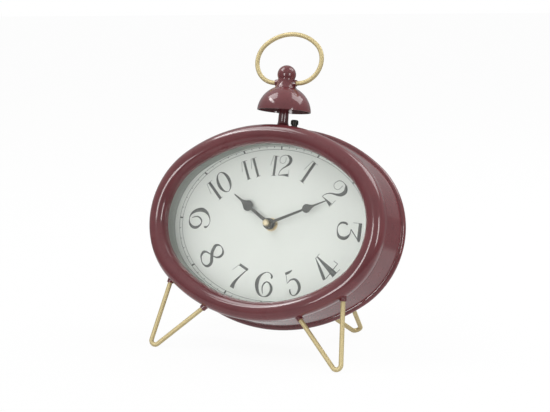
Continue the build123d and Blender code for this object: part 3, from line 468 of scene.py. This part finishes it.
# %% Glyphs as pen strokes
# Each stroke is a row of (x, y, width) in millimetres, with the base line at y = 0.
glyphs = {
    "1": [
        [(0, 0, 2.0), (0, 18, 2.0)],
        [(-2.6, 18, 0.25), (3.2, 17.6, 0.25)],
        [(-2.4, 18, 0.3), (-4.3, 9, 0.3)],
        [(-2.2, 0, 0.35), (2.2, 0, 0.35)],
    ],
    "2": [
        [(-6.2, 14, 0.35), (-5.4, 16.9, 0.4), (-3.2, 18.6, 0.4), (0.25, 18.95, 0.5), (2.5, 18, 1.6),
         (4.5, 15.25, 2.6), (3.75, 11.75, 2.2), (1, 9.15, 1.3), (-2.25, 7, 0.8), (-4.5, 4.5, 0.55),
         (-5.5, 1.75, 0.4), (-5.65, 0.65, 0.35)],
        [(-6.2, 14, 0.3), (-5.3, 12.2, 0.3), (-3.2, 11.4, 0.3), (-1, 12.3, 0.3), (-0.2, 14.5, 0.3),
         (-0.4, 17, 0.3)],
        [(-5.75, 0.45, 0.3), (-1.25, 1, 1.0), (3.75, 1, 2.4)],
        [(4, 6, 0.25), (4.25, -0.5, 0.25)],
    ],
    "3": [
        [(-8, 14.5, 0.3), (-7.75, 22.6, 0.3)],
        [(-7.75, 21.3, 2.6), (5.5, 21.4, 2.6), (8.2, 22.3, 0.6)],
        [(8, 21.9, 0.7), (-2.2, 13.2, 0.7)],
        [(-2.2, 13.2, 0.6), (1.75, 12.8, 0.8), (5, 10.2, 2.2), (6, 6.8, 2.6), (4.5, 2.8, 2.0),
         (0.5, 0.9, 0.9), (-3.2, 0.7, 0.7), (-6.2, 2.2, 1.3), (-7.5, 5, 1.7), (-7, 8.2, 1.6),
         (-5.6, 9.4, 1.2)],
    ],
    "4": [
        [(0.6, 22.6, 1.0), (0, 0, 4.8)],
        [(-3, 0, 0.4), (6.6, -0.5, 0.4)],
        [(-1.4, 22.8, 0.5), (-5.5, 13, 2.0), (-9.4, 4, 2.4)],
        [(-7.6, 3.7, 0.6), (8.6, 4.4, 0.6)],
        [(8.6, 4.3, 0.5), (8.1, 8.9, 0.5)],
        [(-2, 23, 0.4), (4, 23.2, 0.4)],
    ],
    "5": [
        [(-3, 20.3, 2.0), (0.8, 20.8, 1.9), (4, 21.9, 0.6)],
        [(-2.4, 19, 0.4), (-2.8, 11.4, 0.4)],
        [(-2.3, 12, 0.5), (0.8, 13.8, 1.0), (4.9, 13.4, 1.6), (7.3, 9.85, 2.2), (7.6, 5.2, 2.4),
         (5.3, 1.5, 1.8), (2.05, -0.2, 0.8), (-0.8, 0.8, 0.7), (-1.8, 3.85, 1.2), (-1.4, 6.1, 0.9)],
    ],
    "6": [
        [(6.25, 16.5, 0.8), (6.75, 17.5, 1.6), (6.75, 18.75, 1.4), (5, 20.75, 0.7), (2, 21.75, 0.5),
         (-1.5, 20.5, 1.0), (-5, 17.25, 2.2), (-6.75, 12.75, 3.2), (-6.5, 8.25, 2.9),
         (-4.75, 3.75, 2.2), (-2.25, 1, 1.2), (1, 0.1, 0.6), (4.5, 1, 1.4), (7, 3.75, 2.1),
         (7.75, 7.75, 2.2), (6.25, 11.25, 1.6), (3.25, 13.25, 0.9), (0.5, 12, 1.2), (-1.1, 8.75, 1.0),
         (-0.75, 5.25, 0.8), (0.1, 2.75, 0.4)],
    ],
    "7": [
        [(-5, 21.5, 2.0), (4.8, 21.5, 2.0)],
        [(-5.3, 20.8, 0.3), (-8.4, 14, 0.3)],
        [(4, 21.1, 0.5), (2.96, 18.1, 0.9), (1.35, 13.4, 1.2), (0, 8.3, 1.9), (-0.5, 4.2, 2.8),
         (0, 0.2, 3.8)],
    ],
    "8": [
        [(-5.5, 5.6, 2.6), (-2.8, 1.7, 2.7), (1.4, -1, 2.7), (5.2, -3.5, 2.6), (6.4, -6.9, 2.4),
         (5.25, -9.7, 1.6), (1.1, -11.6, 0.8), (-3.7, -10.6, 1.0), (-5.9, -9.3, 1.6),
         (-7.3, -6.1, 2.2), (-5.9, -3.4, 1.4), (-2.3, -1.1, 0.8), (1, 0.8, 0.7), (3.8, 3.1, 1.2),
         (5.1, 6.5, 1.8), (4.2, 9.9, 1.9), (1.4, 11.7, 1.2), (-2.2, 11.8, 0.7), (-5, 10.1, 1.3),
         (-6.1, 7.3, 2.2)],
    ],
}
print(sum(len(strokes) for strokes in glyphs.values()), "strokes drawn by hand")

# %% Glyphs that follow from a rule
# The nought is an ellipse whose sides are thick and whose ends are thin (sizes in millimetres).
nought_half_width, nought_half_height = 5.5, 10.05
nought_thick, nought_thin = 2.4, 0.5
nought_points = 16
glyphs["0"] = [[
    (nought_half_width * sin(turn), nought_half_height * cos(turn),
     nought_thin + (nought_thick - nought_thin) * sin(turn) ** 2)
    for turn in (2 * pi * point / nought_points for point in range(nought_points))
]]
closed_glyphs = ("8", "0")
# The nine is the six's own strokes, a little wider: its turn on the dial stands it on its head.
nine_spread = 1.14
glyphs["9"] = [[(x * nine_spread, y, width) for x, y, width in stroke] for stroke in glyphs["6"]]
print(len(glyphs), "glyphs in all")

# %% Set the numerals round the dial
# A row is the glyph, its turn (degrees clockwise), its place on the dial, the point of the glyph that
# stands there, and its size against the drawing above (all lengths in millimetres).
numerals = [
    ("1", 0, (-4.4, 44.05), (0, 0), 1.0), ("2", 0, (5.95, 44.05), (0, 0), 1.0),
    ("1", 30, (29.05, 48.85), (0, 9), 1.14), ("2", 42, (56.9, 32.3), (-0.5, 9.5), 1.20),
    ("3", 90, (74, -0.6), (0, 11.5), 1.0), ("4", -54, (65.95, -38.55), (0, 0), 1.0),
    ("5", -20, (31.3, -59.5), (2.05, 0), 1.0), ("6", 0, (0.8, -63.95), (0.5, 0), 1.0),
    ("7", 26, (-30.9, -59.25), (0, 0), 1.0), ("8", 54, (-55.05, -32.25), (0, 0), 1.0),
    ("9", 90, (-72.95, 0.15), (0.5, 10.9), 1.0),
    ("1", -45, (-61.55, 27.1), (0, 9), 1.11), ("0", -37, (-53.4, 35.3), (0, 0), 1.0),
    ("1", -24.5, (-32.2, 47.45), (0, 9), 1.0), ("1", -24.5, (-23.2, 50.6), (0, 9), 1.0),
]
pen_pressure = 1.16
stroke_smoothness = 10
runs, widths, closed_runs = [], [], []
for glyph, turn, spot_on_dial, anchor, size in numerals:
    set_down = (Matrix.Translation((*spot_on_dial, 0)) @ Matrix.Rotation(radians(-turn), 4, "Z")
                @ Matrix.Scale(size, 4) @ Matrix.Translation((-anchor[0], -anchor[1], 0)))
    for stroke in glyphs[glyph]:
        if glyph in closed_glyphs:
            closed_runs.append(len(runs))
        runs.append([set_down @ Vector((x, y, 0)) * mm for x, y, _ in stroke])
        widths += [width * size * pen_pressure * mm for _, _, width in stroke]
figures = grow("dial_numerals", pen_tree, line_mesh("dial_numerals", runs, closed_runs, width=widths),
               place=on_dial, ink=ink_height, smoothness=stroke_smoothness, material=finishes["dial_ink"])
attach(figures, "case")

# %% [markdown]
# ## The hands
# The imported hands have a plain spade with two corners. On the real clock the spade is a full round that
# runs into a fine point, and the arm is stouter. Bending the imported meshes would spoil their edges, so the
# blades are drawn anew. Half an outline says all: arm, arc, one hollow curve and the point. It is mirrored,
# filled as one face and given its thickness. Length, direction, boss and bore are measured on the CAD hand
# that the new one replaces, so it sits on the same arbor and turns with it.

# %% Half the outline of a spade hand
arc_steps = 20
hollow_start = radians(55)


def spade_side(start, root_half, neck_half, spade_at, spade_radius, point_at, point_half, tip_at, tip_half):
    """The right-hand side of a hand that points along +y, from its root to its tip."""
    side = [(root_half, start)]
    first = asin(neck_half / spade_radius)
    last = pi - hollow_start
    for step in range(arc_steps + 1):
        turn = first + (last - first) * step / arc_steps
        side.append((spade_radius * sin(turn), spade_at - spade_radius * cos(turn)))
    leave = Vector(side[-1])
    meet = Vector((point_half, leave.y + (leave.x - point_half) * sin(hollow_start) / cos(hollow_start)))
    arrive = Vector((point_half, point_at))
    for step in range(1, arc_steps + 1):
        share = step / arc_steps
        side.append(tuple(leave * (1 - share) ** 2 + meet * 2 * share * (1 - share) + arrive * share ** 2))
    return side + [(tip_half, tip_at)]


print("a spade's arc and hollow have", arc_steps, "steps each")

# %% Blade and boss
import bmesh

boss_steps = 64


def add_blade(shape, outline, bottom, thickness):
    """Fills an outline and gives it its thickness."""
    blade = shape.faces.new([shape.verts.new((x, y, bottom)) for x, y in outline])
    raised = bmesh.ops.extrude_face_region(shape, geom=[blade], use_keep_orig=True)["geom"]
    lifted = [item for item in raised if isinstance(item, bmesh.types.BMVert)]
    bmesh.ops.translate(shape, verts=lifted, vec=(0, 0, thickness))


def add_boss(shape, bore_radius, boss_radius, bottom, top):
    """A ring of square section about the hand's centre."""
    section = ((bore_radius, bottom), (boss_radius, bottom), (boss_radius, top), (bore_radius, top))
    hoops = [
        [shape.verts.new((radius * cos(turn), radius * sin(turn), depth)) for radius, depth in section]
        for turn in (2 * pi * step / boss_steps for step in range(boss_steps))
    ]
    for hoop, following in zip(hoops, hoops[1:] + hoops[:1]):
        for corner in range(len(section)):
            beside = (corner + 1) % len(section)
            shape.faces.new((hoop[corner], following[corner], following[beside], hoop[beside]))


print("a boss has", boss_steps, "sides")

# %% A hand in the place of a CAD hand
def spade_hand(name, cad_node, thickness, sizes):
    """A flat blade on a boss with its bore; sizes are those of spade_side, in millimetres."""
    found = face_points(cad_node)
    tip = max(found, key=lambda point: point.xy.length)
    heading = tip.xy.normalized()
    boss_radius = max(-point.xy.dot(heading) for point in found)
    bore_radius = min(point.xy.length for point in found)
    low, high = face_box(cad_node)
    middle = (low.z + high.z) / 2
    side = spade_side((boss_radius + bore_radius) / 2, tip_at=tip.xy.length,
                      **{label: size * mm for label, size in sizes.items()})
    outline = side + [(-x, y) for x, y in reversed(side)]
    shape = bmesh.new()
    add_blade(shape, outline, middle - thickness / 2, thickness)
    add_boss(shape, bore_radius, boss_radius, low.z, high.z)
    bmesh.ops.recalc_face_normals(shape, faces=shape.faces)
    mesh = bpy.data.meshes.new(name)
    shape.to_mesh(mesh)
    shape.free()
    mesh.transform(face @ Matrix.Rotation(-atan2(heading.x, heading.y), 4, "Z"))
    mesh.materials.append(finishes["hand_black"])
    made_hand = new_object(name, mesh)
    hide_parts(cad_node)
    print(name, "is", round(tip.xy.length / mm, 1), "mm long")
    return made_hand


# %% Both hands
blade_thickness = 0.5 * mm
hour_sizes = {"root_half": 1.5, "neck_half": 1.3, "spade_at": 27.6, "spade_radius": 4.8,
              "point_at": 36.6, "point_half": 0.95, "tip_half": 0.5}
minute_sizes = {"root_half": 1.35, "neck_half": 0.95, "spade_at": 38.2, "spade_radius": 3.9,
                "point_at": 46.6, "point_half": 0.8, "tip_half": 0.4}
hour_blade = spade_hand("hour_blade", "hour_hand", blade_thickness, hour_sizes)
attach(hour_blade, "hour")
minute_blade = spade_hand("minute_blade", "minute_hand", blade_thickness, minute_sizes)
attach(minute_blade, "minute")

# %% [markdown]
# ## The back screws
# Four screws hold the back plate, each with a cross recess that is turned its own way, as screws are. A cut
# in the screw would change a CAD mesh, and the shade in a recess of this size shows only as a dark cross. So
# two thin dark bars paint that shade as a cross, and a tree puts one on each head with a turn of its own from
# a fixed seed. The heads are found from the CAD node, so the crosses stay on them if the screws move.

# %% Tree for the painted shade of cross recesses
cross_tree, given, made = new_tree(
    "Cross recess shade", "GeometryNodeTree",
    {"Geometry": "Geometry", "Length": "Float", "Width": "Float", "Thickness": "Float", "Seed": "Int",
     "Material": "Material"},
    {"Geometry": "Geometry"},
)
bars = add_node(cross_tree, "GeometryNodeJoinGeometry")
for along, thwart in ((given["Length"], given["Width"]), (given["Width"], given["Length"])):
    bar_size = vector(cross_tree, along, thwart, given["Thickness"])
    bar = add_node(cross_tree, "GeometryNodeMeshCube", {"Size": bar_size})
    cross_tree.links.new(bar.outputs[0], bars.inputs[0])
chance = add_node(cross_tree, "FunctionNodeRandomValue",
                  {2: 0.0, 3: pi / 2, "Seed": given["Seed"]}, data_type="FLOAT")
twist = vector(cross_tree, z=chance.outputs[1])
heads = add_node(cross_tree, "GeometryNodeMeshToPoints", {0: given["Geometry"]})
crosses = add_node(cross_tree, "GeometryNodeInstanceOnPoints",
                   {"Points": heads.outputs[0], "Instance": bars.outputs[0], "Rotation": twist})
end_tree(cross_tree, crosses.outputs[0], given, made)

# %% Painted shade of the cross recesses on the back screws
screw_low, screw_high = face_box("back_screws")
head_radius = 3.2 * mm
recess_length, recess_width, recess_thickness = 3.2 * mm, 0.7 * mm, 0.04 * mm
recess_seed = 3
head_places = [
    (x, y, screw_low.z - recess_thickness / 2)
    for x in (screw_low.x + head_radius, screw_high.x - head_radius)
    for y in (screw_low.y + head_radius, screw_high.y - head_radius)
]
# Each dark cross is painted shade for a screw's recess.
recess_shade = grow("screw_recesses", cross_tree, line_mesh("screw_recesses", [[spot] for spot in head_places]),
                place=face, length=recess_length, width=recess_width, thickness=recess_thickness,
                seed=recess_seed, material=finishes["stub_black"])
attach(recess_shade, "case")

# %% [markdown]
# ## The setting knob
# The knob at the back of the movement has ribs for the finger, each a half-round bead down its side. They
# could be cut into a profile, but beads on a circle look the same. A tree sets thin pegs round the knob, and
# each peg is sunk by half, so that only its outer half shows.

# %% Tree for a ring of ribs
peg_sides = 12
rib_tree, given, made = new_tree(
    "Ribs", "GeometryNodeTree",
    {"Count": "Int", "Radius": "Float", "Rib": "Float", "Height": "Float", "Material": "Material"},
    {"Geometry": "Geometry"},
)
number = add_node(rib_tree, "GeometryNodeInputIndex").outputs[0]
angle = sums(rib_tree, "DIVIDE", sums(rib_tree, "MULTIPLY", number, 2 * pi), given["Count"])
rib_place = vector(rib_tree, sums(rib_tree, "MULTIPLY", given["Radius"], sums(rib_tree, "COSINE", angle)),
                   sums(rib_tree, "MULTIPLY", given["Radius"], sums(rib_tree, "SINE", angle)))
rib_size = vector(rib_tree, given["Rib"], given["Rib"], given["Height"])
points = add_node(rib_tree, "GeometryNodePoints", {"Count": given["Count"], "Position": rib_place})
peg = add_node(rib_tree, "GeometryNodeMeshCylinder", {"Vertices": peg_sides, "Radius": 0.5, "Depth": 1.0})
pegs = add_node(rib_tree, "GeometryNodeInstanceOnPoints",
                {"Points": points.outputs[0], "Instance": peg.outputs[0], "Scale": rib_size})
end_tree(rib_tree, pegs.outputs[0], given, made)

# %% Ribs on the setting knob
knob_low, knob_high = face_box("setting_knob")
knob_middle = (knob_low + knob_high) / 2
knob_radius = (knob_high.x - knob_low.x) / 2
knob_height = 2.4 * mm
rib_height, rib_width = 1.8 * mm, 0.7 * mm
rib_count = 24
on_knob = face @ Matrix.Translation((knob_middle.x, knob_middle.y, knob_low.z + knob_height / 2))
ribs = grow("knob_ribs", rib_tree, place=on_knob, count=rib_count, radius=knob_radius, rib=rib_width,
            height=rib_height, material=finishes["black_plastic"])
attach(ribs, "setting")

# %% [markdown]
# ## The cell's sleeve
# The cell in the bay is a dark can with a coloured sleeve near its positive end. Two colours in one material
# would need a mask in the right place. A thin sleeve is what the real one has, so a tree sweeps a flat
# section round a circle of the cell's own radius.

# %% Tree for a sleeve
sleeve_steps = 96
sleeve_tree, given, made = new_tree(
    "Sleeve", "GeometryNodeTree",
    {"Radius": "Float", "Thickness": "Float", "Length": "Float", "Material": "Material"},
    {"Geometry": "Geometry"},
)
loop = add_node(sleeve_tree, "GeometryNodeCurvePrimitiveCircle",
                {"Resolution": sleeve_steps, "Radius": given["Radius"]})
level = add_node(sleeve_tree, "GeometryNodeSetCurveNormal", {0: loop.outputs[0]}, mode="Z_UP")
cut = add_node(sleeve_tree, "GeometryNodeCurvePrimitiveQuadrilateral",
               {0: given["Thickness"], 1: given["Length"]})
wrapped = add_node(sleeve_tree, "GeometryNodeCurveToMesh", {0: level.outputs[0], 1: cut.outputs[0]})
end_tree(sleeve_tree, wrapped.outputs[0], given, made)

# %% Sleeve on the cell
cell_low, cell_high = face_box("battery")
cell_middle = (cell_low + cell_high) / 2
cell_radius = (cell_high.y - cell_low.y) / 2
sleeve_length, sleeve_inset, sleeve_thickness = 14 * mm, 3 * mm, 0.08 * mm
sleeve_middle = (cell_high.x - sleeve_inset - sleeve_length / 2, cell_middle.y, cell_middle.z)
round_cell = face @ Matrix.Translation(sleeve_middle) @ Matrix.Rotation(pi / 2, 4, "Y")
sleeve = grow("cell_sleeve", sleeve_tree, place=round_cell, radius=cell_radius, thickness=sleeve_thickness,
              length=sleeve_length, material=finishes["brass"])
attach(sleeve, "cell")

# %% [markdown]
# ## A white studio
# Enamel and glass are mirrors, so the room around the clock shows in them. One white room would make them
# pale and flat, and a dark one would leave no white background. So the floor and the world answer each kind
# of ray with a value of its own, and the white comes from colour, not from more light on the clock.

# %% White floor
floor_reach = 6.0
floor_mesh = bpy.data.meshes.new("floor")
floor_mesh.from_pydata(
    [(x * floor_reach, y * floor_reach, 0) for x, y in ((-1, -1), (1, -1), (1, 1), (-1, 1))],
    [], [(0, 1, 2, 3)],
)
floor = new_object("floor", floor_mesh)
print("floor is", 2 * floor_reach, "m wide")

# %% A value for each kind of ray
def by_ray(tree, plain, mirrored, through_glass, seen):
    """A value for plain rays, and other ones for mirror rays, rays through the glass and camera rays."""
    rays = add_node(tree, "ShaderNodeLightPath").outputs
    value = plain
    for kind, other in (("Is Glossy Ray", mirrored), ("Is Transmission Ray", through_glass),
                        ("Is Camera Ray", seen)):
        value = choice(tree, rays[kind], value, other)
    return value


print("rays can be told apart")

# %% [markdown]
# The floor keeps the clock's shadow, so it is matt paint for plain rays. A glow alone would swallow that
# shadow, so it is mixed in for the other rays only. Mirror rays see the floor pale near the clock and darker
# from some 30 cm on: that edge is the band in the lower side of the drum.

# %% Floor paint
white = (1, 1, 1, 1)
near_floor, far_floor = 0.30, 0.36
near_glow, far_glow = 0.75, 0.2
shown_share = 0.95
floor_paint = bpy.data.materials.new("floor_paint")
floor_paint.use_nodes = True
tree = floor_paint.node_tree
matt = tree.nodes["Principled BSDF"]
matt.inputs["Base Color"].default_value = (0.9, 0.9, 0.9, 1)
matt.inputs["Roughness"].default_value = 0.9
from_clock = add_node(tree, "ShaderNodeVectorMath",
                      {0: add_node(tree, "ShaderNodeTexCoord").outputs["Object"]}, operation="LENGTH")
fade = add_node(tree, "ShaderNodeMapRange",
                {"Value": from_clock.outputs["Value"], "From Min": near_floor, "From Max": far_floor,
                 "To Min": near_glow, "To Max": far_glow})
glow = add_node(tree, "ShaderNodeEmission",
                {"Color": white, "Strength": by_ray(tree, 1.0, fade.outputs[0], 1.0, 1.0)})
painted = add_node(tree, "ShaderNodeMixShader",
                   {0: by_ray(tree, 0.0, shown_share, shown_share, shown_share),
                    1: matt.outputs[0], 2: glow.outputs[0]})
tree.links.new(painted.outputs[0], tree.nodes["Material Output"].inputs["Surface"])
floor_mesh.materials.append(floor_paint)
print("floor painted")

# %% [markdown]
# The world gives plain rays an even level. One level for all rays would be simpler, but enamel shows what
# surrounds it. So mirror rays see the world brighter overhead than at the horizon, which makes the enamel's
# slow change from pale to dark. Rays that leave the dial through the glass see a bright side on the left and
# a dim one on the right, and that shades the dial across.

# %% World
ambient = 0.60
horizon_glow, zenith_glow = 0.38, 0.8
horizon_height, zenith_height = 0.05, 0.8
left_glow, right_glow = 1.13, 0.15
left_side, right_side = -0.6, 0.6
world = bpy.data.worlds.new("white_room")
bpy.context.scene.world = world
world.use_nodes = True
tree = world.node_tree
way = add_node(tree, "ShaderNodeSeparateXYZ",
               {0: add_node(tree, "ShaderNodeTexCoord").outputs["Generated"]}).outputs
sky = add_node(tree, "ShaderNodeMapRange",
               {"Value": way[2], "From Min": horizon_height, "From Max": zenith_height,
                "To Min": horizon_glow, "To Max": zenith_glow})
on_dial_light = add_node(tree, "ShaderNodeMapRange",
                         {"Value": way[0], "From Min": left_side, "From Max": right_side,
                          "To Min": left_glow, "To Max": right_glow})
background = tree.nodes["Background"]
background.inputs["Color"].default_value = white
room = by_ray(tree, ambient, sky.outputs[0], on_dial_light.outputs[0], 1.0)
tree.links.new(room, background.inputs["Strength"])
print("world has", len(tree.nodes), "nodes")

# %% [markdown]
# ## Soft boxes
# Two soft boxes at a height, one on each side, light the clock. Three more are hidden from matt surfaces:
# the enamel shows them as the streaks on bezel, stem and ball, and some of their light still reaches the
# dial by way of the glass. Point lamps would show as dots in the enamel, so area lamps are used: a lamp with
# a size gives a streak with a shape. No box is seen through the glass.

# %% Five soft boxes
clock_middle = (cad_low + cad_high) / 2


def soft_box(name, azimuth, elevation, distance, wide, tall, power, lights_clock=True):
    """An area light that faces the clock; azimuth 0 stands in front of it and 90 to its right."""
    turn, lift = radians(azimuth), radians(elevation)
    way = Vector((sin(turn) * cos(lift), -cos(turn) * cos(lift), sin(lift)))
    lamp = bpy.data.lights.new(name, "AREA")
    lamp.shape = "RECTANGLE"
    lamp.size, lamp.size_y, lamp.energy = wide, tall, power
    box = new_object(name, lamp)
    box.location = clock_middle + way * distance
    box.rotation_euler = way.to_track_quat("Z", "Y").to_euler()
    box.visible_diffuse = lights_clock
    box.visible_transmission = False
    print(name, "at", azimuth, "degrees round and", elevation, "up")


soft_box("high_left", azimuth=-78, elevation=59, distance=1.4, wide=0.7, tall=0.7, power=7)
soft_box("high_right", azimuth=131, elevation=46, distance=1.3, wide=0.8, tall=0.8, power=8)
soft_box("front_left", azimuth=-5, elevation=13, distance=1.4, wide=0.34, tall=0.75, power=8,
         lights_clock=False)
soft_box("front_right", azimuth=64, elevation=13, distance=1.4, wide=0.22, tall=0.60, power=5,
         lights_clock=False)
soft_box("high_strip", azimuth=-58, elevation=50, distance=1.4, wide=0.80, tall=0.16, power=3.6,
         lights_clock=False)

# %% [markdown]
# ## The camera
# The camera stands where the photograph was taken from: some 27 degrees to the right, 12 up, and tilted by
# less than 2. Its matrix could be pasted in, but angles can be read and changed, so the three axes are
# worked out from them. Target and lens were fitted to the dial's oval and the feet of the legs.

# %% Camera at the photograph's angle
azimuth, elevation, roll = radians(26.56), radians(11.83), radians(-1.63)
camera_target = Vector((12.67, -4.5, 125.06)) * mm
camera_distance = 1.0
backward = Vector((sin(azimuth) * cos(elevation), -cos(azimuth) * cos(elevation), sin(elevation)))
level_right = Vector((cos(azimuth), sin(azimuth), 0))
level_up = backward.cross(level_right)
right = level_right * cos(roll) + level_up * sin(roll)
top = level_up * cos(roll) - level_right * sin(roll)
lens = bpy.data.cameras.new("camera")
lens.lens = 75.9
lens.sensor_width = 36.0
camera = new_object("camera", lens)
view_matrix = Matrix((right, top, backward)).transposed().to_4x4()
view_matrix.translation = camera_target + backward * camera_distance
camera.matrix_world = view_matrix
bpy.context.scene.camera = camera
bpy.context.scene.view_settings.view_transform = "Standard"
print("camera at", [round(v, 3) for v in view_matrix.translation])

# %% [markdown]
# ## Size
# Dressing must not make the clock bigger. The model's own box is printed at the start.

# %% Last cell
import json
